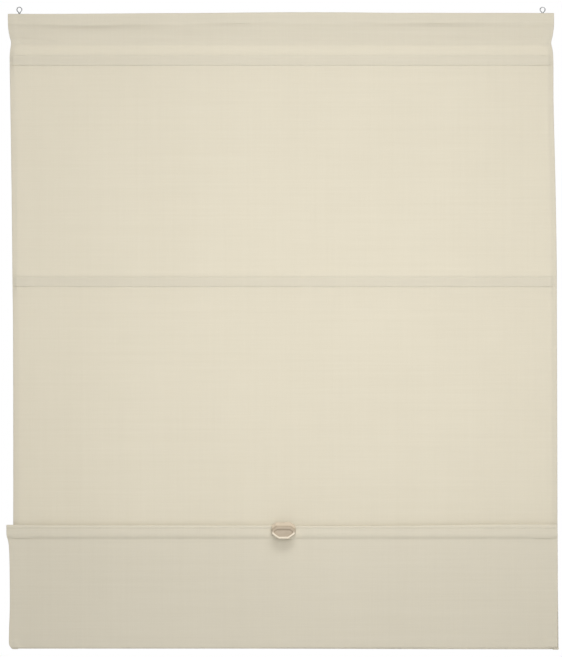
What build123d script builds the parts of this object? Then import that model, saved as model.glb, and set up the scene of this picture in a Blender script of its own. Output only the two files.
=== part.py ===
from build123d import *
import os
from math import atan2, degrees, sqrt

# A roman blind that hangs from two wire eyes, in millimetres. X is to the right, Y is to the back
# and Z is up. The origin is midway between the centres of the two eyes. The lowest batten, which
# carries the grip, is lifted and held by its magnets in front of the third one, so that the cloth
# between them hangs in a loop behind the bottom flap.

# The cloth
cloth_width = 1000.0
cloth = 0.6  # thickness of one layer
ease = 0.3  # room between a pocket and what it holds
gap = 0.3  # between sections of cloth that move apart

# Where things hang, each measured down from the one above
eye_to_cloth = 8.0
top_seam_drop = 53.0  # top edge to the seam that closes the top pocket
heading_drop = 85.5  # top edge to the first batten
upper_drop = 406.0  # first batten to the second
lower_drop = 461.5  # second batten to the third
loop_drop = 212.0  # third batten to the bottom of the loop
flap_drop = 208.0  # fourth batten to the bottom edge

# How far to the right each batten hangs from the middle of the eyes
lean_2 = 5.0
lean_3 = 8.0
lean_4 = 2.5

# Top rail, a flat tube
rail_height = 20.0
rail_thickness = 8.0
rail_wall = 1.2
rail_corner = 1.5
rail_side_gap = 3.0  # cloth edge to the cap
cap_flange = 2.0
cap_plug = 6.0
cap_clearance = 0.1

# Hanging eyes, one bent wire each
eye_spacing = 960.0
wire = 1.8
eye_radius = 4.5  # to the middle of the wire
eye_shoulder = 4.0  # bend from the ring into the legs
leg_spacing = 1.9
eye_land = 0.05  # the ring is pressed flat inside by this much
foot_bend = 1.8
foot_length = 4.0
leg_hole_clearance = 0.65

# Battens, flat strips with a magnet holder pushed on at each end
batten_side_gap = 10.0  # cloth edge to the holder
strip_height = 15.0
strip_thickness = 2.0
strip_corner = 1.0
holder_length = 24.0
holder_height = 15.6
holder_thickness = 4.0
holder_corner = 2.0
holder_slot = 10.0
slot_clearance = 0.05
slot_end_room = 0.2
magnet_diameter = 10.0
magnet_thickness = 3.4
magnet_clearance = 0.1
magnet_chamfer = 0.3
magnet_inset = 7.5  # holder's end to the magnet's middle
pocket_corner = 1.2
stack_gap = 0.8  # between two pockets held one in front of the other

# Grip, a base and a dished cover held by two screws through the lowest batten
grip_shift = 2.0  # right of the batten's middle
grip_rise = 6.0  # above the batten's middle
grip_width = 44.0
grip_height = 31.0
grip_top_flat = 26.0
grip_bottom_flat = 19.0
grip_side_top = 9.0
grip_side_bottom = -5.5
grip_round = 4.0  # corners of the outline
base_thickness = 3.0
cover_depth = 12.0
cover_taper = 1.2  # narrower at the front by this much each side
cover_top_slope = 7.0  # the front's top edge is this much lower than the back's
cover_bottom_slope = 1.0
cover_wall = 2.0
cover_edge = 1.0
dish_rim = 2.6
dish_depth = 2.0
dish_taper = 50.0
dish_corner = 1.5
screw_pitch = 18.0
screw_diameter = 3.0
screw_length = 12.0
screw_head = 5.6
screw_clearance = 0.15
screw_end_room = 1.0
socket_size = 1.1
socket_depth = 1.0
boss_diameter = 6.6

# Worked out from the sizes above
cloth_top = -eye_to_cloth
batten_z_1 = cloth_top - heading_drop
batten_z_2 = batten_z_1 - upper_drop
batten_z_3 = batten_z_2 - lower_drop
batten_z_4 = batten_z_3
pocket_height = holder_height + 2 * (ease + cloth)
pocket_thickness = holder_thickness + 2 * (ease + cloth)
batten_y_4 = -(pocket_thickness + stack_gap)
strip_length = cloth_width - 2 * (batten_side_gap + holder_length - holder_slot + slot_end_room)
flap_y = batten_y_4 - cloth / 2 - ease / 2
loop_front_y = flap_y + cloth + gap
loop_bottom = batten_z_3 - loop_drop
loop_radius = abs(loop_front_y) / 2
rail_top = cloth_top - cloth - ease
rail_z = rail_top - rail_height / 2
top_pocket_height = rail_height + 2 * (ease + cloth)
top_pocket_thickness = rail_thickness + 2 * (ease + cloth)
top_pocket_z = cloth_top - top_pocket_height / 2
tube_length = cloth_width - 2 * (rail_side_gap + cap_flange)
grip_back_y = batten_y_4 - pocket_thickness / 2
grip_x = lean_4 + grip_shift
grip_z = batten_z_4 + grip_rise

sides = (("left", -1), ("right", 1))
battens = (
    (1, 0.0, 0.0, batten_z_1),
    (2, lean_2, 0.0, batten_z_2),
    (3, lean_3, 0.0, batten_z_3),
    (4, lean_4, batten_y_4, batten_z_4),
)

os.makedirs("parts", exist_ok=True)


def save(part, name):
    part.label = name
    export_step(part, f"parts/{name}.step")


def facing_front(x, y, z):
    """An upright plane whose own x runs right and whose own y runs up, facing the room."""
    return Plane(origin=(x, y, z), x_dir=(1, 0, 0), z_dir=(0, -1, 0))


def facing_right(x, y, z):
    """An upright plane whose own x runs to the back and whose own y runs up, facing right."""
    return Plane(origin=(x, y, z), x_dir=(0, 1, 0), z_dir=(1, 0, 0))


def eye():
    """A teardrop ring of wire with two legs that go down through the rail and turn outwards under its wall."""
    leg = leg_spacing / 2
    shoulder_x = leg + eye_shoulder
    shoulder_z = -sqrt((eye_radius + eye_shoulder) ** 2 - shoulder_x**2)
    turn = degrees(atan2(-shoulder_z, shoulder_x))
    foot_z = rail_top - rail_wall - ease - wire / 2
    foot_x = leg + foot_bend
    bend_z = foot_z + foot_bend
    with BuildPart() as bent_wire:
        with BuildLine(Plane.XZ) as route:
            Line((-foot_x - foot_length, foot_z), (-foot_x, foot_z))
            CenterArc((-foot_x, bend_z), foot_bend, -90, 90)
            Line((-leg, bend_z), (-leg, shoulder_z))
            CenterArc((-shoulder_x, shoulder_z), eye_shoulder, 0, turn)
            CenterArc((0, 0), eye_radius, 180 + turn, -180 - 2 * turn)
            CenterArc((shoulder_x, shoulder_z), eye_shoulder, 180 - turn, turn)
            Line((leg, shoulder_z), (leg, bend_z))
            CenterArc((foot_x, bend_z), foot_bend, 180, 90)
            Line((foot_x, foot_z), (foot_x + foot_length, foot_z))
        with BuildSketch(Plane(origin=(-foot_x - foot_length, 0, foot_z), z_dir=(1, 0, 0))):
            Circle(wire / 2)
        sweep(path=route.wire())
        with BuildSketch(Plane.XZ):
            Circle(eye_radius - wire / 2 + eye_land)
        extrude(amount=wire, both=True, mode=Mode.SUBTRACT)
    return bent_wire.part


# Hanging eyes
for side, way in sides:
    save(eye().moved(Location((way * eye_spacing / 2, 0, 0))), f"hanging_eye_{side}")

# Top rail, with a hole in its upper wall for each eye's two legs
leg_hole = leg_spacing / 2 + wire / 2 + leg_hole_clearance
with BuildPart() as top_rail:
    with BuildSketch(facing_right(-tube_length / 2, 0, rail_z)):
        RectangleRounded(rail_thickness, rail_height, rail_corner)
        Rectangle(rail_thickness - 2 * rail_wall, rail_height - 2 * rail_wall, mode=Mode.SUBTRACT)
    extrude(amount=tube_length)
    with BuildSketch(Plane.XY.offset(rail_top)):
        with GridLocations(eye_spacing, 0, 2, 1):
            Circle(leg_hole)
    extrude(amount=-2 * rail_wall, mode=Mode.SUBTRACT)
save(top_rail.part, "top_rail")

# Caps that plug the rail's two ends
for side, way in sides:
    with BuildPart() as rail_cap:
        with BuildSketch(facing_right(way * tube_length / 2, 0, rail_z)):
            RectangleRounded(rail_thickness, rail_height, rail_corner)
        extrude(amount=way * cap_flange)
        with BuildSketch(facing_right(way * tube_length / 2, 0, rail_z)):
            Rectangle(
                rail_thickness - 2 * (rail_wall + cap_clearance),
                rail_height - 2 * (rail_wall + cap_clearance),
            )
        extrude(amount=-way * cap_plug)
    save(rail_cap.part, f"rail_cap_{side}")

# Cloth sewn round the rail, with a slit for each eye's legs
with BuildPart() as top_pocket:
    with BuildSketch(facing_right(-cloth_width / 2, 0, top_pocket_z)):
        RectangleRounded(top_pocket_thickness, top_pocket_height, rail_corner + ease + cloth)
        RectangleRounded(
            top_pocket_thickness - 2 * cloth,
            top_pocket_height - 2 * cloth,
            rail_corner + ease,
            mode=Mode.SUBTRACT,
        )
    extrude(amount=cloth_width)
    with BuildSketch(Plane.XY.offset(cloth_top)):
        with GridLocations(eye_spacing, 0, 2, 1):
            Circle(leg_hole)
    extrude(amount=-2 * cloth, mode=Mode.SUBTRACT)
save(top_pocket.part, "top_pocket")


def cloth_panel(name, y, top, top_lean, bottom, bottom_lean):
    """A flat section of the cloth, whose lower edge may hang to one side of its upper edge."""
    half = cloth_width / 2
    with BuildPart() as panel:
        with BuildSketch(facing_front(0, y, 0)):
            with BuildLine():
                Polyline(
                    (top_lean - half, top),
                    (top_lean + half, top),
                    (bottom_lean + half, bottom),
                    (bottom_lean - half, bottom),
                    close=True,
                )
            make_face()
        extrude(amount=cloth / 2, both=True)
    save(panel.part, name)


# Cloth under the rail, double down to the seam that closes the top pocket, then single
pocket_half = pocket_height / 2
double_top = cloth_top - top_pocket_height
double_bottom = cloth_top - top_seam_drop
single_bottom = batten_z_1 + pocket_half
with BuildPart() as heading_cloth:
    with BuildSketch(facing_right(-cloth_width / 2, 0, 0)):
        with Locations((0, (double_top + double_bottom) / 2)):
            Rectangle(2 * cloth, double_top - double_bottom)
        with Locations((0, (double_top + single_bottom) / 2)):
            Rectangle(cloth, double_top - single_bottom)
    extrude(amount=cloth_width)
save(heading_cloth.part, "heading_cloth")

# Flat cloth, from the first batten down
cloth_panel("upper_cloth", 0, batten_z_1 - pocket_half, 0, batten_z_2 + pocket_half + gap, lean_2)
cloth_panel("lower_cloth", 0, batten_z_2 - pocket_half, lean_2, batten_z_3 + pocket_half + gap, lean_3)
cloth_panel(
    "loop_front", loop_front_y, batten_z_4 - pocket_half, lean_4, loop_bottom + loop_radius + gap, lean_3
)
cloth_panel("bottom_flap", flap_y, batten_z_4 - pocket_half, lean_4, batten_z_4 - flap_drop, lean_4)

# The back of the loop, with the turn at its bottom
with BuildPart() as loop_back:
    with BuildSketch(facing_right(lean_3 - cloth_width / 2, 0, 0)):
        with BuildLine():
            Line((0, batten_z_3 - pocket_half), (0, loop_bottom + loop_radius))
            CenterArc((-loop_radius, loop_bottom + loop_radius), loop_radius, 0, -180)
        trace(line_width=cloth)
    extrude(amount=cloth_width)
save(loop_back.part, "loop_back")


def screw_axes(y, facing):
    """The two grip screws' planes, on a face at y."""
    for way in (-1, 1):
        yield Plane(origin=(grip_x + way * screw_pitch / 2, y, batten_z_4), z_dir=(0, facing, 0))


# Pockets sewn across the cloth, each round a batten
for number, lean, y, z in battens:
    with BuildPart() as pocket:
        with BuildSketch(facing_right(lean - cloth_width / 2, y, z)):
            RectangleRounded(pocket_thickness, pocket_height, pocket_corner)
            RectangleRounded(
                pocket_thickness - 2 * cloth,
                pocket_height - 2 * cloth,
                pocket_corner - cloth,
                mode=Mode.SUBTRACT,
            )
        extrude(amount=cloth_width)
        if number == 4:
            with BuildSketch(*screw_axes(grip_back_y, -1)):
                Circle(boss_diameter / 2 + ease)
            extrude(amount=-2 * cloth, mode=Mode.SUBTRACT)
    save(pocket.part, f"pocket_{number}")

# Batten strips
head_depth = (screw_head - screw_diameter) / 2
for number, lean, y, z in battens:
    with BuildPart() as batten:
        with BuildSketch(facing_front(lean, y, z)):
            RectangleRounded(strip_length, strip_height, strip_corner)
        extrude(amount=strip_thickness / 2, both=True)
        if number == 4:
            with Locations(*screw_axes(y + strip_thickness / 2, 1)):
                CounterSinkHole(
                    screw_diameter / 2 + screw_clearance,
                    screw_head / 2 + screw_clearance,
                    strip_thickness,
                )
    save(batten.part, f"batten_{number}")

# Magnet holders, which fork over the ends of the strips, and the magnets in them
for number, lean, y, z in battens:
    for side, way in sides:
        end = lean + way * (cloth_width / 2 - batten_side_gap)
        magnet_x = end - way * magnet_inset
        with BuildPart() as holder:
            with BuildSketch(facing_front(end - way * holder_length / 2, y, z)):
                RectangleRounded(holder_length, holder_height, holder_corner)
            extrude(amount=holder_thickness / 2, both=True)
            with BuildSketch(facing_front(end - way * (holder_length - holder_slot / 2), y, z)):
                Rectangle(holder_slot, holder_height)
            extrude(amount=strip_thickness / 2 + slot_clearance, both=True, mode=Mode.SUBTRACT)
            with BuildSketch(facing_front(magnet_x, y, z)):
                Circle(magnet_diameter / 2 + magnet_clearance)
            extrude(amount=holder_thickness, both=True, mode=Mode.SUBTRACT)
        save(holder.part, f"holder_{number}_{side}")

        with BuildPart() as magnet:
            with BuildSketch(facing_front(magnet_x, y, z)):
                Circle(magnet_diameter / 2)
            extrude(amount=magnet_thickness / 2, both=True)
            chamfer(magnet.edges().filter_by(GeomType.CIRCLE), magnet_chamfer)
        save(magnet.part, f"magnet_{number}_{side}")


def grip_face(inset, corner, top_slope, bottom_slope):
    """The grip's eight-sided face about its own middle, drawn in from its widest by inset all round."""
    half = grip_width / 2
    top = grip_height / 2 - top_slope
    bottom = -grip_height / 2 + bottom_slope
    top_half = grip_top_flat / 2
    bottom_half = grip_bottom_flat / 2
    side_top = grip_side_top - top_slope
    with BuildSketch() as outline:
        with BuildLine():
            Polyline(
                (-top_half, top),
                (top_half, top),
                (half, side_top),
                (half, grip_side_bottom),
                (bottom_half, bottom),
                (-bottom_half, bottom),
                (-half, grip_side_bottom),
                (-half, side_top),
                close=True,
            )
        make_face()
        if inset:
            offset(amount=-inset, kind=Kind.INTERSECTION, mode=Mode.REPLACE)
        fillet(outline.vertices(), corner)
    return outline.sketch


# Grip base, a plate on the cloth with two bosses that reach through it to the batten
base_front_y = grip_back_y - base_thickness
with BuildPart() as grip_base:
    with BuildSketch(facing_front(grip_x, grip_back_y, grip_z)):
        add(grip_face(0, grip_round, 0, 0))
    extrude(amount=base_thickness)
    with BuildSketch(*screw_axes(grip_back_y, 1)):
        Circle(boss_diameter / 2)
    extrude(amount=batten_y_4 - strip_thickness / 2 - grip_back_y)
    with Locations(*screw_axes(base_front_y, -1)):
        Hole(screw_diameter / 2 + screw_clearance)
save(grip_base.part, "grip_base")

screw_start = batten_y_4 + strip_thickness / 2  # the back of the batten

# Grip cover, a shell with a dished front and two posts for the screws
cover_front_y = base_front_y - cover_depth
with BuildPart() as grip_cover:
    with BuildSketch(facing_front(grip_x, base_front_y, grip_z)):
        add(grip_face(0, grip_round, 0, 0))
    with BuildSketch(facing_front(grip_x, cover_front_y, grip_z)):
        add(grip_face(cover_taper, grip_round - cover_taper, cover_top_slope, cover_bottom_slope))
    loft()
    fillet(grip_cover.faces().sort_by(Axis.Y)[0].edges(), cover_edge)
    with BuildSketch(facing_front(grip_x, cover_front_y, grip_z)):
        add(grip_face(cover_taper + dish_rim, dish_corner, cover_top_slope, cover_bottom_slope))
    extrude(amount=-dish_depth, taper=dish_taper, mode=Mode.SUBTRACT)
    with BuildSketch(facing_front(grip_x, base_front_y, grip_z)):
        add(grip_face(cover_wall, grip_round - cover_wall, 0, 0))
    with BuildSketch(facing_front(grip_x, cover_front_y + dish_depth + cover_wall, grip_z)):
        add(grip_face(cover_taper + cover_wall, dish_corner, cover_top_slope, cover_bottom_slope))
    loft(mode=Mode.SUBTRACT)
    with BuildSketch(*screw_axes(base_front_y, -1)):
        Circle(boss_diameter / 2)
    extrude(amount=cover_depth - dish_depth - cover_wall / 2)
    with BuildSketch(*screw_axes(base_front_y, -1)):
        Circle(screw_diameter / 2 + screw_clearance)
    extrude(amount=base_front_y - screw_start + screw_length + screw_end_room, mode=Mode.SUBTRACT)
save(grip_cover.part, "grip_cover")

# Grip screws, with their heads sunk in the back of the batten
with BuildPart() as grip_screws:
    with BuildSketch(*screw_axes(screw_start, -1)):
        Circle(screw_diameter / 2)
    extrude(amount=screw_length)
    for axis in screw_axes(screw_start, -1):
        with BuildSketch(axis):
            Circle(screw_head / 2)
        with BuildSketch(axis.offset(head_depth)):
            Circle(screw_diameter / 2)
        loft()
    with BuildSketch(*screw_axes(screw_start, -1)):
        RegularPolygon(socket_size, 6)
    extrude(amount=socket_depth, mode=Mode.SUBTRACT)
save(grip_screws.part, "grip_screws")
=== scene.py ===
import functools
import math

import bpy
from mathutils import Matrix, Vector, noise


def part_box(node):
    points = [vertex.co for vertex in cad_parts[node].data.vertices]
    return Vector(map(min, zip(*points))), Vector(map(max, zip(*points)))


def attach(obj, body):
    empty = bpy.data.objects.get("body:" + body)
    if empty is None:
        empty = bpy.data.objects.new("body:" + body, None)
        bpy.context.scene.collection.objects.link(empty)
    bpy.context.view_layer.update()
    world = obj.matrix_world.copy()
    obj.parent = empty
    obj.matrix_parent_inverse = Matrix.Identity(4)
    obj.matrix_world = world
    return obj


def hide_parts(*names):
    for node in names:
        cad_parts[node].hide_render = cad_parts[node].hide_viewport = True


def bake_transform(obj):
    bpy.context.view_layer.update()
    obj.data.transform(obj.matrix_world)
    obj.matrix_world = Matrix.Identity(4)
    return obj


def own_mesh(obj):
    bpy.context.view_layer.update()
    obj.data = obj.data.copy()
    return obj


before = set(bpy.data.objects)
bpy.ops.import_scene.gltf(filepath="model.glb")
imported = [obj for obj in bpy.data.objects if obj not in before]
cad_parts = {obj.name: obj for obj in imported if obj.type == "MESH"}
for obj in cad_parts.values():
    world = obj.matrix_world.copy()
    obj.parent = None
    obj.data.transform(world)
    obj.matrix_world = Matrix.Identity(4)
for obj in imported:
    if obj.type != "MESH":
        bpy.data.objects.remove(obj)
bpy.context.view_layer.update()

# A roman blind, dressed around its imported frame. Lengths in the shape functions are millimetres
# in the frame's axes: X to the right, Y to the back, Z up from the hanging eyes.

MM = 0.001
cloth_width = 1000.0
cloth = 0.6  # thickness of one layer
layer = 0.9  # from the middle of one layer to the next
hem_width = 10.0
hem_stitch_inset = 8.4
bottom_hem = 11.0
seam_allowance = 5.0
heading_drop = 53.0  # from the top edge down to the heading's seam
tape_margin = 2.4  # of a pocket's tape beyond its stitches
gathered = 5.2  # half the height of a raised loop's front while the blind is down
thin_cloth = 0.3  # thickness of that front, which has to fit in the pocket


# ---------------------------------------------------------------- the camera, as in the photograph

view_centre = (0.0, -0.585)  # X and Z
view_height = 1.2056  # what the long side of the picture covers at the cloth
lens = 120.0
sensor = 36.0
camera_distance = view_height * lens / sensor

camera_data = bpy.data.cameras.new("camera")
camera_data.lens = lens
camera_data.sensor_width = sensor
camera = bpy.data.objects.new("camera", camera_data)
camera.location = (view_centre[0], -camera_distance, view_centre[1])
camera.rotation_euler = (math.radians(90), 0, 0)
bpy.context.scene.collection.objects.link(camera)
bpy.context.scene.camera = camera


# ---------------------------------------------------------------- places read from the frame


def box_mm(node):
    """The two corners of a node's box in millimetres."""
    low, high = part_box(node)
    return low / MM, high / MM


def middle_z(node):
    low, high = box_mm(node)
    return (low.z + high.z) / 2


pocket_z = {n: middle_z(f"pocket_{n}") for n in (1, 2, 3, 4)}
pocket_low, pocket_high = box_mm("pocket_1")
pocket_half = (pocket_high.z - pocket_low.z) / 2
pocket_4_y = (box_mm("pocket_4")[0].y + box_mm("pocket_4")[1].y) / 2
holder_inner = {}  # the ends of each batten's left and right holder that are nearer the blind's middle
holder_outer = {}
magnet_places = {}  # the X of each batten's two magnets
for n in (1, 2, 3, 4):
    left_holder, right_holder = box_mm(f"holder_{n}_left"), box_mm(f"holder_{n}_right")
    holder_inner[n] = (left_holder[1].x, right_holder[0].x)
    holder_outer[n] = (left_holder[0].x, right_holder[1].x)
    magnets = [box_mm(f"magnet_{n}_{side}") for side in ("left", "right")]
    magnet_places[n] = [(low.x + high.x) / 2 for low, high in magnets]
rail_low, rail_high = box_mm("top_rail")
rail_z = (rail_low.z + rail_high.z) / 2
cloth_top = box_mm("top_pocket")[1].z
seam_z = cloth_top - heading_drop
loop_bottom = box_mm("loop_back")[0].z
flap_bottom = box_mm("bottom_flap")[0].z


# ---------------------------------------------------------------- the outline

# How far below the eyes, then the left and the right edge of the hanging cloth
hanging_edges = (
    (8.0, -500.4, 500.2),
    (34.0, -499.8, 499.8),
    (50.0, -497.4, 497.6),
    (61.0, -494.9, 495.4),
    (72.0, -496.4, 497.8),
    (88.0, -497.6, 499.4),
    (166.0, -496.4, 499.8),
    (312.0, -494.4, 503.2),
    (459.0, -492.8, 505.6),
    (606.0, -491.3, 506.2),
    (942.0, -491.1, 507.0),
    (1173.0, -492.5, 508.2),
)
# The same for the bottom flap
flap_edges = (
    (945.0, -502.6, 505.4),
    (964.0, -502.0, 506.2),
    (979.0, -498.6, 506.4),
    (1020.0, -496.8, 506.6),
    (1096.0, -496.4, 506.6),
    (1140.0, -497.8, 506.6),
    (1162.0, -497.6, 506.4),
    (1169.0, -494.2, 505.8),
)


def smooth(low, high, value):
    """0 at low and beyond it, 1 at high and beyond it, and a soft step between them."""
    share = min(1.0, max(0.0, (value - low) / (high - low)))
    return share * share * (3 - 2 * share)


def hill(value, centre, width):
    """1 at the centre, falling off on both sides."""
    return math.exp(-(((value - centre) / width) ** 2))


def wander(x, z, size_x, size_z, seed):
    """Smooth seeded noise, about as broad as size_x and as high as size_z."""
    return noise.noise(Vector((x / size_x, z / size_z, seed)))


def slope(rows, i, k):
    """How fast an edge moves sideways at one row, for the smooth line through them."""
    before = rows[max(i - 1, 0)]
    after = rows[min(i + 1, len(rows) - 1)]
    return (after[k] - before[k]) / (after[0] - before[0])


@functools.lru_cache(maxsize=None)
def edges_at(rows, z):
    """The left and the right edge at a height, on a smooth line through the rows."""
    drop = min(max(-z, rows[0][0]), rows[-1][0])
    i = 0
    while i < len(rows) - 2 and drop > rows[i + 1][0]:
        i += 1
    span = rows[i + 1][0] - rows[i][0]
    t = (drop - rows[i][0]) / span
    found = []
    for k in (1, 2):
        start = (2 * t**3 - 3 * t**2 + 1) * rows[i][k] + (t**3 - 2 * t**2 + t) * span * slope(rows, i, k)
        end = (3 * t**2 - 2 * t**3) * rows[i + 1][k] + (t**3 - t**2) * span * slope(rows, i + 1, k)
        found.append(start + end)
    return tuple(found)


def x_at(rows, share, z):
    """Where a share of the cloth's width lies at a height."""
    left, right = edges_at(rows, z)
    return left + layer / 2 + share * (right - left - layer)


def near_edge(rows, x, z):
    """1 over the side hems, where there is a layer more, and 0 away from them."""
    left, right = edges_at(rows, z)
    return 1 - smooth(hem_width + 0.5, hem_width + 9.0, min(x - left, right - x))


# ---------------------------------------------------------------- the shape of the hanging cloth

strip_lift = 0.9  # of a pocket's stitch lines in front of the strip's middle
holder_lift = 0.6  # and this much more over a magnet holder
strip_depth = 1.45  # of a pocket's cloth from the strip's middle
holder_depth = 0.95
past_end_flattening = 0.8  # share of both that is gone where the pocket has ended
pocket_easing = 26.0  # above and below a pocket, where the cloth comes back to its plane
stitch_groove = 0.12
magnet_bump = 0.12
seam_half_gap = 0.35  # between the heading's two layers at the seam, from the middle

def swell(t):
    """A pocket's profile: 0 at its two stitch lines, at t -1 and 1, and 1 over the batten."""
    return max(0.0, 1 - abs(t) ** 5) ** (1 / 5)


def pocket_reach(n, z):
    """1 across a pocket, falling off above and below it."""
    past = abs(z - pocket_z[n]) - pocket_half
    return 1.0 if past < 0 else 1 - smooth(0, pocket_easing, past)


def over_holder(n, x):
    """1 over a magnet holder and beyond it, and 0 over the strip."""
    inner_left, inner_right = holder_inner[n]
    on_left = smooth(inner_left + 12, inner_left - 1, x)
    on_right = smooth(inner_right - 12, inner_right + 1, x)
    return max(on_left, on_right)


def past_end(n, x):
    """1 where the pocket has ended, over the side hems."""
    outer_left, outer_right = holder_outer[n]
    on_left = smooth(outer_left - 0.5, outer_left - 5.5, x)
    on_right = smooth(outer_right + 0.5, outer_right + 5.5, x)
    return max(on_left, on_right)


def pocket_lift(n, x):
    """How far in front of the batten's middle its pocket is sewn to the cloth."""
    lift = strip_lift + holder_lift * over_holder(n, x)
    return lift * (1 - past_end_flattening * past_end(n, x))


def pocket_depth(n, x):
    """How far a pocket's cloth stands off the batten's middle: more over the magnet holders."""
    depth = strip_depth + holder_depth * over_holder(n, x)
    return depth * (1 - past_end_flattening * past_end(n, x))


def pucker(x, z, line, seed):
    """The small ripples that a row of stitches draws into the cloth."""
    fade = math.exp(-abs(z - line) / 7.0)
    return fade * (0.16 * wander(x, line, 7.0, 50.0, seed) + 0.14 * wander(x, line, 19.0, 50.0, seed + 3))


def panel_wave(x, z, top, bottom, seed):
    """The slight unevenness of a panel that hangs between two battens."""
    share = (top - z) / (top - bottom)
    if not 0 < share < 1:
        return 0.0
    hold = math.sin(math.pi * share) ** 0.6
    broad = 1.5 * wander(x, z, 330.0, 520.0, seed) + 0.6 * wander(x, z, 120.0, 300.0, seed + 5)
    fine = 0.16 * wander(x, z, 38.0, 75.0, seed + 9)
    return hold * (broad + fine)


def hanging_y(x, z):
    """The middle of the single hanging layer, from the heading's seam down to the third batten."""
    y = -seam_half_gap * smooth(seam_z - 6, seam_z, z)
    y -= max(pocket_lift(n, x) * pocket_reach(n, z) for n in (1, 2, 3))
    y -= layer * near_edge(hanging_edges, x, z) * smooth(seam_z - 9, seam_z, z)
    y += pucker(x, z, seam_z, 2.0)
    for n in (1, 2, 3):
        t = (z - pocket_z[n]) / pocket_half
        y -= (pocket_depth(n, x) - pocket_lift(n, x)) * swell(t) if abs(t) < 1 else 0.0
        for side in (-1, 1):
            line = pocket_z[n] + side * pocket_half
            y += stitch_groove * hill(z, line, 0.9)
            if abs(t) >= 1:
                y += pucker(x, z, line, 10.0 * n + side)
    for n in (1, 2, 3):
        for magnet_x in magnet_places[n]:
            y -= magnet_bump * smooth(5.6, 4.2, math.hypot(x - magnet_x, z - pocket_z[n]))
    y += panel_wave(x, z, pocket_z[1] - pocket_half, pocket_z[2] + pocket_half, 31.0)
    y += panel_wave(x, z, pocket_z[2] - pocket_half, pocket_z[3] + pocket_half, 47.0)
    left, right = edges_at(hanging_edges, z)
    curl = math.exp(-min(x - left, right - x) / 22.0) * smooth(seam_z - 20, seam_z - 60, z)
    y -= curl * (0.5 + 0.9 * wander(x, z, 900.0, 85.0, 71.0))
    return y


def hanging_point(share, z):
    """A point of the hanging cloth, by its share of the width and its height."""
    x = x_at(hanging_edges, share, z)
    return Vector((x, hanging_y(x, z), z))


# ---------------------------------------------------------------- the shape of the heading

rail_grip_low = rail_low.z + 2.0  # below this the cloth leaves the rail's face
rail_clear = 4.5  # the middle of the cloth stays this far from the rail's middle
rail_cover_y = 4.65  # and lies this far from it on its faces
side_hem_cover = 0.65  # more, over the side hems
# Under the rail the cloth draws in, more in these three stretches than between them
left_crease = -345.0
short_crease = -85.0
right_crease = 285.0
# And in these two it does so lower down
left_sag = -360.0
short_sag = -185.0
# A second, slanting fold near the left end
end_fold_x = -462.0
end_fold_start = (-484.0, -55.5)  # X and Z
end_fold_slope = 0.085


def top_line(x):
    """The top edge rises a little towards the middle."""
    rise = 1.2 * smooth(-450, -200, x) + 1.9 * hill(x, 40, 170) + 0.6 * smooth(150, 300, x)
    return cloth_top + rise + 0.2 * wander(x, 0, 90.0, 1.0, 4.0)


def rail_cover(x, z):
    """How far the heading's two layers stand off the rail's middle."""
    return rail_cover_y + side_hem_cover * near_edge(hanging_edges, x, z)


def heading_front_y(x, z):
    """The heading's front layer, from the rail's face down to the seam."""
    cover = rail_cover(x, z)
    low = seam_half_gap + layer * near_edge(hanging_edges, x, z)
    on_left = hill(x, left_crease, 115)
    on_right = hill(x, right_crease, 110)
    drawn = 0.36 + 0.45 * on_left + 0.1 * hill(x, short_crease, 45) + 0.22 * on_right
    middle = rail_low.z - 1.0 + 1.2 * wander(x, 0, 130.0, 1.0, 8.0)
    middle += 1.6 * hill(x, short_crease, 50) + 1.2 * hill(x, right_crease, 95)
    middle -= 3.6 * hill(x, left_sag, 110) + 2.5 * hill(x, short_sag, 45)
    half = 4.0 - 1.2 * hill(x, short_crease, 50) - 0.6 * hill(x, right_crease, 90)
    step = (cover - low) * drawn
    along = min(1.0, max(0.0, (middle + half - z) / 19.0))
    along = along * along / (along + 0.1) * 1.1
    ease_in = 1 - (1 - along) ** 3
    rest = smooth(rail_grip_low - 6, seam_z, z)
    y = -(cover - step * ease_in - (cover - low - step) * rest)
    # It stands out in a lip just above where it draws in, with finer creases in it
    lip = 0.24 + 0.95 * hill(x, left_crease, 95) + 1.2 * hill(x, short_crease, 42)
    lip += 1.75 * hill(x, right_crease, 95)
    y -= lip * hill(z, middle + 5.5 + 0.8 * wander(x, 0, 45.0, 1.0, 9.0), 3.4)
    fine = 0.6 * hill(x, short_crease, 40) + 0.7 * hill(x, right_crease, 80) + 0.25 * hill(x, left_crease, 70)
    y -= fine * hill(z, middle + 2.6 + 1.0 * wander(x, 0, 38.0, 1.0, 19.0), 1.3)
    # The fold near the left end, and soft dents above the seam
    fold_z = end_fold_start[1] - end_fold_slope * (x - end_fold_start[0])
    y += 0.9 * hill(x, end_fold_x, 36) * hill(z, fold_z, 4.5)
    inside = smooth(rail_grip_low - 4, rail_grip_low - 12, z) * smooth(seam_z, seam_z + 6, z)
    y += inside * (0.22 * wander(x, z, 60.0, 11.0, 12.0) + 0.4 * wander(x, z, 170.0, 26.0, 14.0))
    y += pucker(x, z, seam_z, 2.0)
    y += 0.06 * wander(x, z, 45.0, 9.0, 18.0)
    # Never into the rail
    clear = rail_clear * smooth(rail_low.z - 3.5, rail_low.z - 0.4, z)
    return min(y, -clear)


def heading_back_y(x, z):
    """The heading's back layer, from the rail's face down to the seam."""
    cover = rail_cover(x, z)
    low = seam_half_gap + layer * near_edge(hanging_edges, x, z)
    share = min(1.0, max(0.0, (rail_grip_low - z) / (rail_grip_low - seam_z))) ** 0.55
    return cover + (low - cover) * smooth(0, 1, share)


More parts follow.
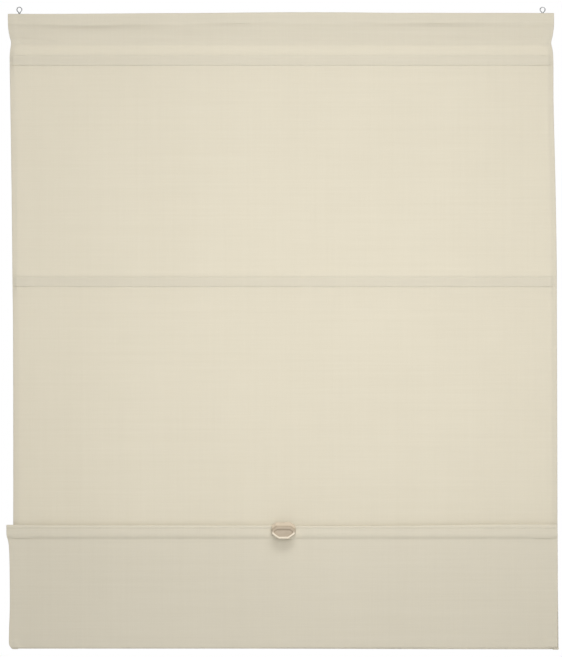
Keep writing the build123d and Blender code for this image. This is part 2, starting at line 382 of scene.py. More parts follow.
def heading_point(share, row):
    """The heading's path: up the back, over the rail, down the front, and on to the first batten."""
    part, at = row
    if part == "front":
        x = x_at(hanging_edges, share, at)
        y = heading_front_y(x, at) if at > seam_z else hanging_y(x, at)
        return Vector((x, y, at))
    if part == "back":
        x = x_at(hanging_edges, share, at)
        if at < seam_z:
            return Vector((x, 0.72 + 0.95 * near_edge(hanging_edges, x, at), at))
        return Vector((x, heading_back_y(x, at), at))
    x = x_at(hanging_edges, share, -cloth_top)
    across = math.cos(at)
    rise = abs(math.sin(at)) ** (1 / 3)
    y_side = heading_back_y(x, rail_z) if across > 0 else -heading_front_y(x, rail_z)
    y = math.copysign(abs(across) ** (1 / 3), across) * y_side
    return Vector((x, y, rail_z + rise * (top_line(x) - cloth / 2 - rail_z)))


# ---------------------------------------------------------------- the shape of the flap and the loop

loop_front_hang_y = pocket_4_y + 2.2
folded_edge_z = -945.3  # the folded top edge above the lowest batten
lip_spread = 0.55  # how much further out each side of the fold stands than the cloth below it
flap_groove = 0.15  # at its stitch lines
flap_forward = 0.75  # from the lowest pocket's middle to the flap
behind_strip = 0.35  # and to the cloth behind the batten


def lip_top(x):
    """The folded top edge: a little lower in the middle than towards its ends."""
    ends = 0.8 * smooth(-400, -490, x) + 1.5 * smooth(240, 400, x)
    return folded_edge_z - 1.0 * hill(x, 110, 120) + ends + 0.3 * wander(x, 0, 70.0, 1.0, 21.0)


pocket_4_wider = 0.8  # at the top than the other pockets
stitch_4_top = pocket_z[4] + pocket_half + pocket_4_wider
stitch_4_low = pocket_z[4] - pocket_half
stitch_4_middle = (stitch_4_top + stitch_4_low) / 2
stitch_4_half = (stitch_4_top - stitch_4_low) / 2


def pocket_4_swell(x, z):
    """How far the lowest pocket's cloth stands off its batten's middle."""
    t = (z - stitch_4_middle) / stitch_4_half
    return pocket_depth(4, x) * swell(t) if abs(t) < 1 else 0.0


def flap_y(x, z):
    """The flap's front layer, from the folded top edge down."""
    edge = near_edge(flap_edges, x, z)
    # Over the batten the cloth stands forward, and draws in softly under it
    peak = 2.55 - 0.8 * smooth(stitch_4_top - 10, stitch_4_top, z)
    stand = peak * smooth(stitch_4_low - 2.5, stitch_4_low + 6.0, z)
    y = pocket_4_y - flap_forward - 0.35 * edge - max(stand, pocket_4_swell(x, z) - 0.4)
    y += flap_groove * (hill(z, stitch_4_top, 0.9) + hill(z, stitch_4_low, 0.9))
    y -= lip_spread * smooth(stitch_4_top, stitch_4_top + 3, z)
    if z < stitch_4_low:
        hold = smooth(stitch_4_low, stitch_4_low - 60, z)
        y -= hold * (0.5 + 0.9 * wander(x, z, 260.0, 200.0, 61.0) + 0.35 * wander(x, z, 90.0, 120.0, 63.0))
        y += pucker(x, z, stitch_4_low, 41.0)
        y -= layer * edge * smooth(flap_bottom + bottom_hem + 6, flap_bottom + bottom_hem, z)
    return y


def flap_back_y(x, z):
    """The cloth that comes up behind the lowest batten."""
    y = pocket_4_y + behind_strip + layer * near_edge(flap_edges, x, z) + pocket_4_swell(x, z)
    return y + lip_spread * smooth(stitch_4_top, stitch_4_top + 3, z)


def flap_bottom_at(x):
    """The flap's bottom edge, which rises a little at its right end."""
    return flap_bottom - 0.9 + 0.4 * wander(x, 0, 160.0, 1.0, 66.0) + 0.8 * smooth(470, 503, x)


def flap_point(share, row):
    """The flap's path: up behind the lowest batten, over the fold, down the front, and the hem turned up."""
    part, at = row
    if part == "back":
        x = x_at(flap_edges, share, at)
        return Vector((x, flap_back_y(x, at), at))
    if part == "lip":
        x = x_at(flap_edges, share, stitch_4_top)
        low = stitch_4_top + 2.0
        front, back = flap_y(x, low), flap_back_y(x, low)
        y = (front + back) / 2 + (back - front) / 2 * math.cos(at)
        return Vector((x, y, low + math.sin(at) * (lip_top(x) - cloth / 2 - low)))
    x = x_at(flap_edges, share, at)
    low = flap_bottom_at(x)
    share_down = (stitch_4_top - at) / (stitch_4_top - flap_bottom)
    z = at + (low - flap_bottom) * max(0.0, share_down)
    if part == "front":
        return Vector((x, flap_y(x, at), z))
    apart = layer * (1 + 2 * near_edge(flap_edges, x, at))
    front = flap_y(x, at)
    if part == "turn":
        return Vector((x, front + apart * 0.5, z - cloth / 2))
    return Vector((x, front + apart, z))


loop_half_depth = 3.7  # of the loop's bottom, front to back
loop_round = 1.7  # height of the loop's rounded bottom
loop_turn_z = loop_bottom + loop_round


def loop_rise(x):
    """How much the loop's bottom is raised: more towards the left."""
    return 0.7 + 1.1 * smooth(380, -60, x)


def loop_point(share, row):
    """The loop's path: down from the third batten, round the bottom, and up to the lowest one."""
    part, at = row
    if part == "turn":
        x = x_at(hanging_edges, share, loop_turn_z)
        z = loop_turn_z + loop_rise(x) + loop_round * math.sin(at)
        return Vector((x, loop_half_depth * (math.cos(at) - 1), z))
    x = x_at(hanging_edges, share, at)
    at += loop_rise(x) * smooth(loop_turn_z + 60, loop_turn_z, at)
    if part == "down":
        share_down = min(1.0, max(0.0, (stitch_4_low - at) / (stitch_4_low - loop_turn_z)))
        hold = math.sin(math.pi * share_down)
        return Vector((x, hold * 0.25 * wander(x, at, 150.0, 120.0, 81.0), at))
    # The front half comes up to the lowest batten, which hangs a little further to the left
    x_flap = x_at(flap_edges, share, at)
    up = smooth(loop_turn_z + 15, stitch_4_low, at)
    near = smooth(stitch_4_low - 22, stitch_4_low, at)
    y = loop_front_hang_y + (flap_back_y(x_flap, stitch_4_low) - loop_front_hang_y) * near
    y -= (2 * loop_half_depth + loop_front_hang_y) * smooth(loop_turn_z + 3.8, loop_turn_z + 1.6, at)
    return Vector((x + (x_flap - x) * up, y, at))


# ---------------------------------------------------------------- meshes of cloth

near_columns = (0.0, 2.0, 4.5, 7.0, 9.5, 12.5, 15.5, 19.0, 23.0)  # closer together by the side hems
column_step = 5.0
side_columns = [d / cloth_width for d in near_columns]
inner_count = int((cloth_width - 2 * near_columns[-1]) / column_step)
inner_start = side_columns[-1]
inner_step = (1 - 2 * inner_start) / inner_count
columns = side_columns + [inner_start + inner_step * i for i in range(1, inner_count)]
columns += [1 - share for share in reversed(side_columns)]
hem_columns = (4, 2, 0)  # the hem's layer lies behind these columns, counted from the edge
fold = ((0.32, 0.77), (0.45, 0.45), (0.32, 0.13))  # out and back, round the folded edge
pocket_steps = (0.0, 0.3, 0.6, 0.8, 0.9, 0.95, 0.98, 0.995, 1.0)  # closer together by the stitch lines
line_steps = (0.0, 0.5, 1.0, 1.7, 2.8)


def spaced(start, end, step):
    """Evenly spaced values from start to end, both included."""
    count = max(1, round(abs(end - start) / step))
    return [start + (end - start) * i / count for i in range(count + 1)]


def merged(*lists):
    """The values of several descending lists in one, without near repeats."""
    kept = []
    for value in sorted((v for values in lists for v in values), reverse=True):
        if not kept or kept[-1] - value > 0.12:
            kept.append(value)
    return kept


def pocket_rows(centre, half):
    """Rows across a pocket."""
    return [centre + sign * half * t for sign in (1, -1) for t in pocket_steps]


def line_rows(line, sides=(1, -1)):
    """Rows close to a stitch line, for the groove that it makes."""
    return [line + side * d for side in sides for d in line_steps]


def new_object(name, points, faces):
    """A smooth mesh from points in millimetres."""
    mesh = bpy.data.meshes.new(name)
    mesh.from_pydata([p * MM for p in points], [], faces)
    mesh.update()
    for face in mesh.polygons:
        face.use_smooth = True
    made = bpy.data.objects.new(name, mesh)
    bpy.context.scene.collection.objects.link(made)
    return made


def back_normal(grid, i, j):
    """Away from the cloth's right side, where its hems are folded to."""
    along = grid[min(i + 1, len(grid) - 1)][j] - grid[max(i - 1, 0)][j]
    return Vector((0, -along.z, along.y)).normalized()


def with_hems(grid):
    """The grid with its two sides folded over to the back."""
    wide = []
    for i, row in enumerate(grid):
        last = len(row) - 1
        left = [row[j] + back_normal(grid, i, j) * layer for j in hem_columns]
        right = [row[last - j] + back_normal(grid, i, last - j) * layer for j in reversed(hem_columns)]
        away_left, away_right = back_normal(grid, i, 0), back_normal(grid, i, last)
        fold_left = [row[0] + Vector((-out, 0, 0)) + away_left * back for out, back in fold]
        fold_right = [row[last] + Vector((out, 0, 0)) + away_right * back for out, back in reversed(fold)]
        wide.append(left + fold_left + row + fold_right + right)
    return wide


def make_cloth(name, rows, point, hems=True, thickness=cloth):
    """A layer of cloth with its side hems folded to the back, and a real thickness."""
    grid = [[point(share, row) for share in columns] for row in rows]
    if hems:
        grid = with_hems(grid)
    width = len(grid[0])
    faces = []
    for i in range(len(grid) - 1):
        for j in range(width - 1):
            a = i * width + j
            faces.append((a, a + width, a + width + 1, a + 1))
    made = new_object(name, [p for row in grid for p in row], faces)
    solid = made.modifiers.new("thickness", "SOLIDIFY")
    solid.thickness = thickness * MM
    solid.offset = 0
    return made


# ---------------------------------------------------------------- meshes of thread

stitch_pitch = 3.1
stitch_length = 2.5
thread = 0.34  # thickness
# A stitch's three rings: how far along it, how far out of the cloth, and the share of its thickness
stitch_rings = ((-0.5, -0.12, 0.6), (0.0, 0.14, 1.0), (0.5, -0.12, 0.6))
pocket_end_inset = 9.5  # from the side edge to the first stitch of a pocket's long lines
magnet_patch = 16.0  # length of the stitched rectangle round a magnet
patch_end_gap = 0.6  # from the holder's end to the rectangle
patch_margin = 2.2  # from the pocket's long lines to the rectangle


def stitches_across(rows, z, surface, away=-1, inset=4.0):
    """A row of stitches from side to side: the middle of each, the way it runs, and away from the cloth."""
    left, right = edges_at(rows, z)
    count = int((right - left - 2 * inset) / stitch_pitch)
    found = []
    for i in range(count):
        x = left + inset + (i + 0.5) * (right - left - 2 * inset) / count
        middle = Vector((x, surface(x, z) + away * cloth / 2, z))
        found.append((middle, Vector((1, 0, 0)), Vector((0, away, 0))))
    return found


def stitches_down(rows, top, bottom, surface, away=-1, inset=hem_stitch_inset):
    """The stitches of both side hems, from one height down to another."""
    count = max(1, int((top - bottom) / stitch_pitch))
    found = []
    for i in range(count):
        z = top - (i + 0.5) * (top - bottom) / count
        for x in (edges_at(rows, z)[0] + inset, edges_at(rows, z)[1] - inset):
            middle = Vector((x, surface(x, z) + away * cloth / 2, z))
            found.append((middle, Vector((0, 0, 1)), Vector((0, away, 0))))
    return found


def stitches_around(x_low, x_high, z_low, z_high, surface):
    """A stitched rectangle on the cloth's face."""
    found = []
    away = Vector((0, -1, 0))
    across = max(1, int((x_high - x_low) / stitch_pitch))
    down = max(1, int((z_high - z_low) / stitch_pitch))
    for i in range(across):
        x = x_low + (i + 0.5) * (x_high - x_low) / across
        for z in (z_low, z_high):
            found.append((Vector((x, surface(x, z) - cloth / 2, z)), Vector((1, 0, 0)), away))
    for i in range(down):
        z = z_low + (i + 0.5) * (z_high - z_low) / down
        for x in (x_low, x_high):
            found.append((Vector((x, surface(x, z) - cloth / 2, z)), Vector((0, 0, 1)), away))
    return found


def stitches_at_pocket(n, surface, line_high, line_low):
    """A pocket's two long lines between the hems, its closed ends, and a rectangle round each magnet."""
    outer_left, outer_right = holder_outer[n]
    found = stitches_across(hanging_edges, line_high, surface, -1, pocket_end_inset)
    found += stitches_across(hanging_edges, line_low, surface, -1, pocket_end_inset)
    for side, outer in ((-1, outer_left), (1, outer_right)):
        inner = outer - side * magnet_patch
        end = outer + side * patch_end_gap
        low, high = min(end, inner), max(end, inner)
        found += stitches_around(low, high, line_low + patch_margin, line_high - patch_margin, surface)
    return found


def make_thread(name, stitches):
    """Short stitches, each one a thread that comes up out of the cloth and goes down into it."""
    points, faces = [], []
    for middle, along, away in stitches:
        aside = along.cross(away)
        first = len(points)
        for share, high, size in stitch_rings:
            centre = middle + along * (share * stitch_length) + away * high
            reach = thread / 2 * size
            points += [centre + away * reach, centre + aside * reach]
            points += [centre - away * reach, centre - aside * reach]
        for ring in (0, 4):
            for k in range(4):
                a, b = first + ring + k, first + ring + (k + 1) % 4
                faces.append((a, b, b + 4, a + 4))
        faces.append((first + 3, first + 2, first + 1, first))
        faces.append((first + 8, first + 9, first + 10, first + 11))
    return new_object(name, points, faces)


# ---------------------------------------------------------------- materials


class Nodes:
    """A short way to write one material's nodes."""

    def __init__(self, name):
        self.material = bpy.data.materials.new(name)
        self.material.use_nodes = True
        self.tree = self.material.node_tree
        self.shader = self.tree.nodes["Principled BSDF"]
        self.output = self.tree.nodes["Material Output"]
        self.place = self.add("ShaderNodeTexCoord").outputs["Object"]

    def add(self, kind, **values):
        node = self.tree.nodes.new(kind)
        for key, value in values.items():
            setattr(node, key, value)
        return node

    def link(self, source, target):
        self.tree.links.new(source, target)

    def noise(self, size, detail=3.0, rough=0.5):
        """Noise whose grains are about size metres, along X, Y and Z."""
        mapping = self.add("ShaderNodeMapping")
        mapping.inputs["Scale"].default_value = [1 / s for s in size]
        self.link(self.place, mapping.inputs["Vector"])
        texture = self.add("ShaderNodeTexNoise")
        texture.inputs["Scale"].default_value = 1.0
        texture.inputs["Detail"].default_value = detail
        texture.inputs["Roughness"].default_value = rough
        self.link(mapping.outputs["Vector"], texture.inputs["Vector"])
        return texture.outputs["Fac"]

    def math(self, operation, a, b=None, c=None):
        node = self.add("ShaderNodeMath", operation=operation)
        for i, value in enumerate((a, b, c)):
            if value is None:
                continue
            if isinstance(value, (int, float)):
                node.inputs[i].default_value = value
            else:
                self.link(value, node.inputs[i])
        return node.outputs[0]

    def blend(self, factor, a, b):
        """One colour to another by a factor."""
        node = self.add("ShaderNodeMix", data_type="RGBA")
        self.link(factor, node.inputs[0])
        for socket, colour in ((node.inputs[6], a), (node.inputs[7], b)):
            if isinstance(colour, tuple):
                socket.default_value = (*colour, 1)
            else:
                self.link(colour, socket)
        return node.outputs[2]

    def span(self, value, low, high, to_low, to_high):
        node = self.add("ShaderNodeMapRange")
        self.link(value, node.inputs["Value"])
        node.inputs["From Min"].default_value = low
        node.inputs["From Max"].default_value = high
        node.inputs["To Min"].default_value = to_low
        node.inputs["To Max"].default_value = to_high
        return node.outputs["Result"]

    def bump(self, height, strength, distance):
        node = self.add("ShaderNodeBump")
        node.inputs["Strength"].default_value = strength
        node.inputs["Distance"].default_value = distance
        self.link(height, node.inputs["Height"])
        return node.outputs["Normal"]

    def set(self, **values):
        for key, value in values.items():
            socket = self.shader.inputs[key.replace("_", " ")]
            if hasattr(value, "is_linked"):
                self.link(value, socket)
            else:
                socket.default_value = value


warp_pitch = 0.00052  # from one thread of the weave to the next
weft_pitch = 0.00060
shaken = 1.6  # radians that a thread's place is shaken by
cloth_dark = (0.772, 0.724, 0.600)
cloth_light = (0.815, 0.769, 0.648)
cloth_glow_dark = (0.830, 0.768, 0.620)
cloth_glow_light = (0.890, 0.832, 0.690)
cloth_open = 0.32  # share of the light that goes through the cloth
thread_dark = (0.740, 0.700, 0.580)
thread_light = (0.800, 0.762, 0.640)


def cloth_material():
    """Cream plain weave: uneven threads both ways, matt, and thin enough to glow with light behind it."""
    made = Nodes("cream_cloth")
    parts = made.add("ShaderNodeSeparateXYZ")
    made.link(made.place, parts.inputs[0])
    # Each thread's place is shaken a little, so the weave isn't ruled
    shake = made.noise((0.004, 0.004, 0.004), 2.0)
    warp_ruled = made.math("MULTIPLY", parts.outputs[0], 2 * math.pi / warp_pitch)
    warp_at = made.math("MULTIPLY_ADD", shake, shaken, warp_ruled)
    weft_ruled = made.math("MULTIPLY", parts.outputs[2], 2 * math.pi / weft_pitch)
    weft_at = made.math("MULTIPLY_ADD", shake, shaken, weft_ruled)
    weave = made.math("MULTIPLY", made.math("SINE", warp_at), made.math("SINE", weft_at))
    # Slubs: thicker stretches of single threads, across and down
    weft_slub = made.noise((0.060, 0.02, 0.0011), 2.0, 0.6)
    warp_slub = made.noise((0.0011, 0.02, 0.080), 2.0, 0.6)
    weft_band = made.noise((0.45, 0.3, 0.006), 3.0, 0.6)
    warp_band = made.noise((0.007, 0.3, 0.60), 3.0, 0.6)
    patch = made.noise((0.16, 0.16, 0.22), 3.0, 0.5)
    across = made.math("ADD", made.math("MULTIPLY", weft_slub, 0.9), made.math("MULTIPLY", weft_band, 1.0))
    down = made.math("ADD", made.math("MULTIPLY", warp_slub, 0.6), made.math("MULTIPLY", warp_band, 0.6))
    tone = made.math("ADD", made.math("ADD", across, down), made.math("MULTIPLY", patch, 0.7))
    tone = made.math("ADD", tone, made.math("MULTIPLY", weave, 0.10))
    factor = made.span(tone, 1.3, 2.5, 0.0, 1.0)
    colour = made.blend(factor, cloth_dark, cloth_light)
    through = made.blend(factor, cloth_glow_dark, cloth_glow_light)
    height = made.math("ADD", made.math("MULTIPLY", weave, 0.5), made.math("MULTIPLY", weft_slub, 1.0))
    height = made.math("ADD", height, made.math("MULTIPLY", warp_slub, 0.6))
    normal = made.bump(height, 0.35, 0.0002)
    made.set(Base_Color=colour, Roughness=made.span(weft_slub, 0.2, 0.8, 0.82, 0.95), Normal=normal)
    made.set(Specular_IOR_Level=0.18, Sheen_Weight=0.12, Sheen_Roughness=0.6)
    glow = made.add("ShaderNodeBsdfTranslucent")
    made.link(through, glow.inputs["Color"])
    made.link(normal, glow.inputs["Normal"])
    mix = made.add("ShaderNodeMixShader")
    mix.inputs[0].default_value = cloth_open
    made.link(made.shader.outputs[0], mix.inputs[1])
    made.link(glow.outputs[0], mix.inputs[2])
    made.link(mix.outputs[0], made.output.inputs["Surface"])
    return made.material


def thread_material():
    """Cream polyester thread: two plies twisted together, with a soft shine."""
    made = Nodes("cream_thread")
    wave = made.add("ShaderNodeTexWave", bands_direction="DIAGONAL")
    wave.inputs["Scale"].default_value = 480.0
    wave.inputs["Distortion"].default_value = 1.5
    made.link(made.place, wave.inputs["Vector"])
    tint = made.noise((0.02, 0.02, 0.02))
    made.set(Base_Color=made.blend(tint, thread_dark, thread_light))
    made.set(Normal=made.bump(wave.outputs["Fac"], 0.3, 0.0001))
    made.set(Roughness=made.span(tint, 0.3, 0.7, 0.5, 0.62), Sheen_Weight=0.2, Sheen_Roughness=0.4)
    return made.material


def plastic_material(name, dark, light, roughness, grain=0.0006, relief=0.08):
    """Moulded plastic: a fine spark-eroded grain, faint flow marks and uneven gloss."""
    made = Nodes(name)
    flow = made.noise((0.018, 0.012, 0.006), 3.0, 0.55)
    fine = made.noise((grain, grain, grain), 2.0, 0.6)
    made.set(Base_Color=made.blend(made.span(flow, 0.3, 0.7, 0.0, 1.0), dark, light))
    made.set(Roughness=made.span(flow, 0.3, 0.7, roughness - 0.05, roughness + 0.05))
    made.set(Normal=made.bump(fine, relief, 0.0001))
    return made.material


def grip_material():
    """Beige moulded plastic: its own tone on the slope above, with painted shade in the dish and a painted
    highlight on the rim and lower down.
    """
    made = Nodes("beige_plastic")
    parts = made.add("ShaderNodeSeparateXYZ")
    made.link(made.place, parts.inputs[0])
    low, high = (corner * MM for corner in box_mm("grip_cover"))
    flow = made.noise((0.018, 0.012, 0.006), 3.0, 0.55)
    fine = made.noise((0.0006, 0.0006, 0.0006), 2.0, 0.6)
    # Painted shade in front of one plane and below another, where the dish lies in shade, except on the rim,
    # the foremost face lower down, which gets a painted highlight
    dark_y = low.y + 0.0050
    dark_z = high.z - 0.0044
    rim_y = low.y + 0.0009
    rim_z = high.z - 0.0150
    front = made.span(parts.outputs[1], dark_y, dark_y - 0.0010, 0.0, 1.0)
    below_top = made.span(parts.outputs[2], dark_z, dark_z - 0.0016, 0.0, 1.0)
    # lower: below this line the colour turns to the painted highlight colour
    lower = made.span(parts.outputs[2], rim_z, rim_z - 0.0035, 0.0, 1.0)
    raised = made.span(parts.outputs[1], rim_y, rim_y - 0.0007, 0.0, 1.0)
    rim_highlight = made.math("MULTIPLY", raised, lower)
    # dark: the mask of the dish's painted shade
    dark = made.math("SUBTRACT", made.math("MULTIPLY", front, below_top), rim_highlight)
    dark.node.use_clamp = True
    tone = made.span(flow, 0.3, 0.7, 0.0, 1.0)
    slope = made.blend(tone, (0.562, 0.472, 0.362), (0.604, 0.514, 0.399))
    # edge: a painted highlight colour, on the rim and on all of the grip below it
    edge = made.blend(tone, (0.694, 0.615, 0.485), (0.737, 0.657, 0.525))
    base = made.blend(lower, slope, edge)
    # shade: the painted shade colour of the dish
    shade = made.blend(tone, (0.385, 0.313, 0.226), (0.435, 0.358, 0.266))
    made.set(Base_Color=made.blend(dark, base, shade), Roughness=made.span(flow, 0.3, 0.7, 0.38, 0.46))
    made.set(Normal=made.bump(fine, 0.08, 0.0001))
    return made.material


def metal_material(name, dark, light, roughness, grain, relief=0.06):
    """Bare or plated metal with fine marks, drawn out along the way that it was made."""
    made = Nodes(name)
    marks = made.noise(grain, 4.0, 0.6)
    cloud = made.noise((0.006, 0.006, 0.006), 3.0)
    made.set(Base_Color=made.blend(cloud, dark, light), Metallic=1.0)
    made.set(Roughness=made.span(marks, 0.3, 0.7, roughness - 0.08, roughness + 0.1))
    made.set(Normal=made.bump(marks, relief, 0.0001))
    return made.material


# The darker and the lighter tone of each plain plastic and metal
white_plastic = ((0.70, 0.69, 0.66), (0.78, 0.77, 0.74))
natural_plastic = ((0.66, 0.65, 0.60), (0.74, 0.73, 0.68))
strip_plastic = ((0.70, 0.70, 0.68), (0.80, 0.80, 0.78))
aluminium = ((0.72, 0.72, 0.72), (0.82, 0.82, 0.83))
dull_zinc = ((0.33, 0.34, 0.35), (0.50, 0.51, 0.52))
bright_zinc = ((0.50, 0.50, 0.50), (0.64, 0.64, 0.62))
nickel = ((0.60, 0.59, 0.57), (0.72, 0.70, 0.67))
# Size of each metal's marks along X, Y and Z
drawn_along_x = (0.09, 0.0004, 0.0004)
drawn_wire = (0.0008, 0.0008, 0.006)
plated = (0.001, 0.001, 0.001)
turned = (0.0005, 0.002, 0.0005)

materials = {
    "cloth": cloth_material(),
    "thread": thread_material(),
    "grip": grip_material(),
    "rail_cap": plastic_material("white_cap", *white_plastic, 0.45),
    "magnet_holder": plastic_material("natural_plastic", *natural_plastic, 0.38),
    "batten": plastic_material("white_strip", *strip_plastic, 0.4, 0.0011, 0.12),
    "rail": metal_material("drawn_aluminium", *aluminium, 0.34, drawn_along_x),
    "eye_wire": metal_material("zinc_wire", *dull_zinc, 0.34, drawn_wire),
    "magnet": metal_material("nickel_magnet", *nickel, 0.22, plated),
    "screw": metal_material("zinc_screw", *bright_zinc, 0.3, turned),
}
cad_finish = {
    "hanging_eye_": "eye_wire",
    "top_rail": "rail",
    "rail_cap_": "rail_cap",
    "batten_": "batten",
    "holder_": "magnet_holder",
    "magnet_": "magnet",
    "grip_base": "grip",
    "grip_cover": "grip",
    "grip_screws": "screw",
}


def paint(obj, finish):
    """Gives an object one of the materials and nothing else."""
    obj.data.materials.clear()
    obj.data.materials.append(materials[finish])


for node_name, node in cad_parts.items():
    for start, finish in cad_finish.items():
        if node_name.startswith(start):
            paint(node, finish)


# ---------------------------------------------------------------- the pieces


def fasten(pieces, body=None, joint=None, across=None):
    """Puts a cloth and its stitches on their body, each with a mesh of its own when it has a joint; a piece
    across a joint is only baked in place, on no body.
    """
    for piece in pieces:
        if across:
            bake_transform(piece)
            continue
        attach(piece, body)
        if joint:
            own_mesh(piece)


def finish_cloth(piece, stitches):
    paint(piece, "cloth")
    if stitches:
        paint(stitches, "thread")


pocket_1_top = pocket_z[1] + pocket_half
pocket_1_low = pocket_z[1] - pocket_half
pocket_2_top = pocket_z[2] + pocket_half
pocket_2_low = pocket_z[2] - pocket_half
pocket_3_top = pocket_z[3] + pocket_half
pocket_3_low = pocket_z[3] - pocket_half

# Heading: round the rail, double down to its seam, single to the first batten, and over it
heading_rows = [("back", z) for z in spaced(seam_z - seam_allowance, seam_z, 1.7)]
heading_rows += [("back", z) for z in spaced(seam_z, rail_z, 2.1)[1:-1]]
heading_rows += [("top", math.pi * i / 26) for i in range(27)]
front_rows = merged(
    spaced(rail_z - 2, seam_z, 0.9),
    line_rows(seam_z),
    spaced(seam_z, pocket_1_top, 3.0),
    line_rows(pocket_1_top, (1,)),
    pocket_rows(pocket_z[1], pocket_half),
)
heading_rows += [("front", z) for z in front_rows]
heading = make_cloth("heading", heading_rows, heading_point)
heading_thread = make_thread(
    "heading_thread",
    stitches_across(hanging_edges, seam_z, heading_front_y)
    + stitches_across(hanging_edges, pocket_1_top, hanging_y, -1, pocket_end_inset)
    + stitches_across(hanging_edges, pocket_1_low, hanging_y, -1, pocket_end_inset)
    + stitches_down(hanging_edges, rail_z, seam_z, heading_front_y)
    + stitches_down(hanging_edges, seam_z, pocket_1_low, hanging_y),
)
fasten([heading, heading_thread], "hanging_top")
finish_cloth(heading, heading_thread)
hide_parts("top_pocket", "heading_cloth", "pocket_1")


def panel(name, body, top, bottom, joint, node):
    """A stretch of cloth between two battens, with its side hems' stitches, on its body with a mesh of its
    own.
    """
    rows = merged(spaced(top, bottom, 5.0), line_rows(top, (-1,)), line_rows(bottom, (1,)))
    piece = make_cloth(name, rows, hanging_point)
    stitches = make_thread(name + "_thread", stitches_down(hanging_edges, top, bottom, hanging_y))
    fasten([piece, stitches], body, joint)
    finish_cloth(piece, stitches)
    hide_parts(node)


def pocket_front(n, body):
    """The front of a batten's pocket, with a stitch line above and below."""
    centre = pocket_z[n]
    rows = merged(pocket_rows(centre, pocket_half))
    piece = make_cloth(f"pocket_{n}_front", rows, hanging_point)
    stitches = stitches_at_pocket(n, hanging_y, centre + pocket_half, centre - pocket_half)
    stitches += stitches_down(hanging_edges, centre + pocket_half, centre - pocket_half, hanging_y)
    stitches = make_thread(f"pocket_{n}_thread", stitches)
    fasten([piece, stitches], body)
    finish_cloth(piece, stitches)
    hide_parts(f"pocket_{n}")


panel("upper_panel", "hanging_top", pocket_1_low, pocket_2_top, "upper_raise", "upper_cloth")
pocket_front(2, "middle_batten")
panel("lower_panel", "middle_batten", pocket_2_low, pocket_3_top, "lower_raise", "lower_cloth")
pocket_front(3, "lower_batten")

tape_end_steps = (0.0, 0.8, 1.6)
just_apart = 0.05  # between the tape and the gathered cloth in front of it
tape_gap = 0.66  # from the middle of the pocket's cloth to the middle of the tape, where they are sewn
loop_room = 0.3  # more between the batten and its tape, for the cloth of the raised loop


def tape_y(n, x, z):
    """The tape behind a batten, with room between them for the cloth of the raised loop."""
    centre = pocket_z[n]
    seat = tape_gap - pocket_lift(n, x)
    over_hem = 0.95 * near_edge(hanging_edges, x, z)
    if abs(z - centre) >= pocket_half:
        return seat + over_hem + 0.08 * (abs(z - centre) - pocket_half)
    full = swell((z - centre) / pocket_half)
    over_hem *= 1 - full * (1 - past_end(n, x))
    return seat + over_hem + (pocket_depth(n, x) - tape_gap + loop_room + pocket_lift(n, x)) * full


def pocket_tape(n, body):
    """The tape sewn on behind a batten, which closes its pocket at the back."""
    centre = pocket_z[n]
    reach = pocket_half + tape_margin

    def surface(x, z):
        return tape_y(n, x, z)

    def point(share, z):
        x = x_at(hanging_edges, share, z)
        return Vector((x, surface(x, z), z))

    ends = [centre + side * (reach - d) for side in (1, -1) for d in tape_end_steps]
    piece = make_cloth(f"pocket_{n}_tape", merged(pocket_rows(centre, pocket_half), ends), point, hems=False)
    stitches = stitches_across(hanging_edges, centre + pocket_half, surface, 1)
    stitches += stitches_across(hanging_edges, centre - pocket_half, surface, 1)
    stitches = make_thread(f"pocket_{n}_tape_thread", stitches)
    fasten([piece, stitches], body)
    finish_cloth(piece, stitches)


for n, body in ((1, "hanging_top"), (2, "middle_batten"), (3, "lower_batten")):
    pocket_tape(n, body)


def raised_half(n, upper, lower):
    """The front half of the loop that a panel makes when its lower batten is lifted.

    At rest it is gathered behind the batten, inside the pocket.
    """
    top = pocket_z[n] + gathered
    bottom = pocket_z[n] - gathered

    def point(share, z):
        x = x_at(hanging_edges, share, z)
        return Vector((x, tape_y(n, x, pocket_z[n]) - (cloth + thin_cloth) / 2 - just_apart, z))

    piece = make_cloth(f"raised_half_{n}", spaced(top, bottom, 0.5), point, False, thin_cloth)
    start = (2 * bottom - top) * MM
    fasten([piece], across=(upper, lower, (0, 0, start), (0, 0, top * MM)))
    finish_cloth(piece, None)


raised_half(2, "hanging_top", "middle_batten")
raised_half(3, "middle_batten", "lower_batten")

# Flap, with the lowest batten's pocket
flap_rows = [("back", z) for z in spaced(stitch_4_low, stitch_4_low + 1, 0.5)]
flap_rows += [("back", z) for z in spaced(stitch_4_low + 1, stitch_4_top - 1, 1.8)[1:]]
flap_rows += [("back", z) for z in spaced(stitch_4_top - 1, stitch_4_top + 2, 0.5)[1:-1]]
flap_rows += [("lip", math.pi * i / 12) for i in range(13)]
flap_front_rows = merged(
    spaced(stitch_4_top + 1.4, stitch_4_top, 0.5),
    pocket_rows(stitch_4_middle, stitch_4_half),
    line_rows(stitch_4_low, (-1,)),
    spaced(stitch_4_low, flap_bottom + bottom_hem, 4.5),
    line_rows(flap_bottom + bottom_hem),
    spaced(flap_bottom + bottom_hem, flap_bottom + 0.5, 2.0),
)
flap_rows += [("front", z) for z in flap_front_rows]
flap_rows += [("turn", flap_bottom)]
flap_rows += [("hem", z) for z in spaced(flap_bottom + 0.5, flap_bottom + bottom_hem + 1.5, 2.0)]
flap = make_cloth("flap", flap_rows, flap_point)
flap_thread = make_thread(
    "flap_thread",
    stitches_across(flap_edges, stitch_4_top, flap_y)
    + stitches_across(flap_edges, stitch_4_low, flap_y)
    + stitches_across(flap_edges, flap_bottom + bottom_hem, flap_y)
    + stitches_down(flap_edges, stitch_4_top, flap_bottom + 3, flap_y),
)
fasten([flap, flap_thread], "handle_rail")
finish_cloth(flap, flap_thread)
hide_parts("pocket_4", "bottom_flap")
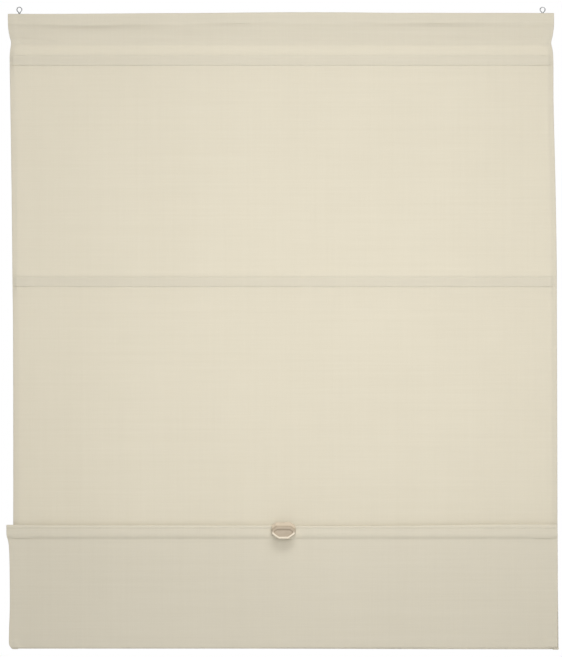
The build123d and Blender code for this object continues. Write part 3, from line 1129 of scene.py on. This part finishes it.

# Loop: the back half, from the third batten round the bottom, is baked in place, and the front half, up to
# the lowest batten, rides on the handle rail
loop_rows = [("down", z) for z in spaced(pocket_3_low, loop_turn_z, 6.0)]
loop_rows += [("turn", -math.pi * i / 10) for i in range(1, 11)]
loop_back = make_cloth("loop_back_cloth", loop_rows, loop_point)
loop_front_rows = [("up", z) for z in spaced(loop_turn_z, loop_turn_z + 6, 0.5)]
loop_front_rows += [("up", z) for z in spaced(loop_turn_z + 6, stitch_4_low, 5.0)[1:]]
loop_front = make_cloth("loop_front_cloth", loop_front_rows, loop_point)
loop_span = (pocket_3_low - loop_bottom) * MM
loop_start = (0, 0, pocket_3_low * MM)
loop_end = (0, 0, pocket_3_low * MM - 2 * loop_span)
fasten([loop_back], across=("lower_batten", "handle_rail", loop_start, loop_end))
finish_cloth(loop_back, None)
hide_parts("loop_back")
fasten([loop_front], "handle_rail", "rail_drop")
finish_cloth(loop_front, None)
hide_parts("loop_front")


# ---------------------------------------------------------------- studio

floor_z = -2.2
floor_reach = 6.5
floor_sides = 96


def floor_material():
    """Pale, even floor that shines a little by itself, as a lit backdrop does."""
    made = Nodes("pale_floor")
    tint = made.noise((0.9, 0.9, 0.9), 4.0)
    made.set(Base_Color=made.blend(tint, (0.86, 0.86, 0.85), (0.90, 0.90, 0.89)), Roughness=0.8)
    made.set(Normal=made.bump(made.noise((0.002, 0.002, 0.002)), 0.05, 0.0005))
    made.set(Emission_Color=(1.0, 1.0, 1.0, 1.0), Emission_Strength=0.22)
    return made.material


floor_mesh = bpy.data.meshes.new("floor")
floor_turns = [math.tau * i / floor_sides for i in range(floor_sides)]
floor_points = [(floor_reach * math.cos(turn), floor_reach * math.sin(turn), floor_z) for turn in floor_turns]
floor_mesh.from_pydata(floor_points, [], [tuple(range(floor_sides))])
floor = bpy.data.objects.new("floor", floor_mesh)
floor.data.materials.append(floor_material())
bpy.context.scene.collection.objects.link(floor)


def soft_light(name, place, aim, width, height, power):
    """A softbox that isn't seen itself."""
    data = bpy.data.lights.new(name, "AREA")
    data.shape = "RECTANGLE"
    data.size, data.size_y = width, height
    data.energy = power
    light = bpy.data.objects.new(name, data)
    light.location = place
    direction = Vector(aim) - Vector(place)
    light.rotation_euler = direction.to_track_quat("-Z", "Y").to_euler()
    light.visible_camera = False
    bpy.context.scene.collection.objects.link(light)
    return light


room_light = 0.19  # strength of the even light from all round
soft_light("top_softbox", (0.35, -2.65, 3.27), (0.0, 0.0, -0.75), 3.4, 1.4, 124.0)
soft_light("front_softbox", (0.14, -1.38, -0.54), (0.05, 0.0, -0.54), 1.1, 1.1, 13.6)
soft_light("back_softbox", (0.0, 1.9, -0.5), (0.0, 0.0, -0.55), 2.4, 1.8, 13.5)

# The room lights the blind evenly from all round, and shows white behind it
world = bpy.data.worlds.new("studio")
bpy.context.scene.world = world
world.use_nodes = True
tree = world.node_tree
ray = tree.nodes.new("ShaderNodeLightPath")
seen = tree.nodes.new("ShaderNodeMath")
seen.operation = "MULTIPLY_ADD"
seen.inputs[1].default_value = 1.0 - room_light
seen.inputs[2].default_value = room_light
tree.links.new(ray.outputs["Is Camera Ray"], seen.inputs[0])
tree.nodes["Background"].inputs["Color"].default_value = (1, 1, 1, 1)
tree.links.new(seen.outputs[0], tree.nodes["Background"].inputs["Strength"])

bpy.context.scene.view_settings.view_transform = "Standard"
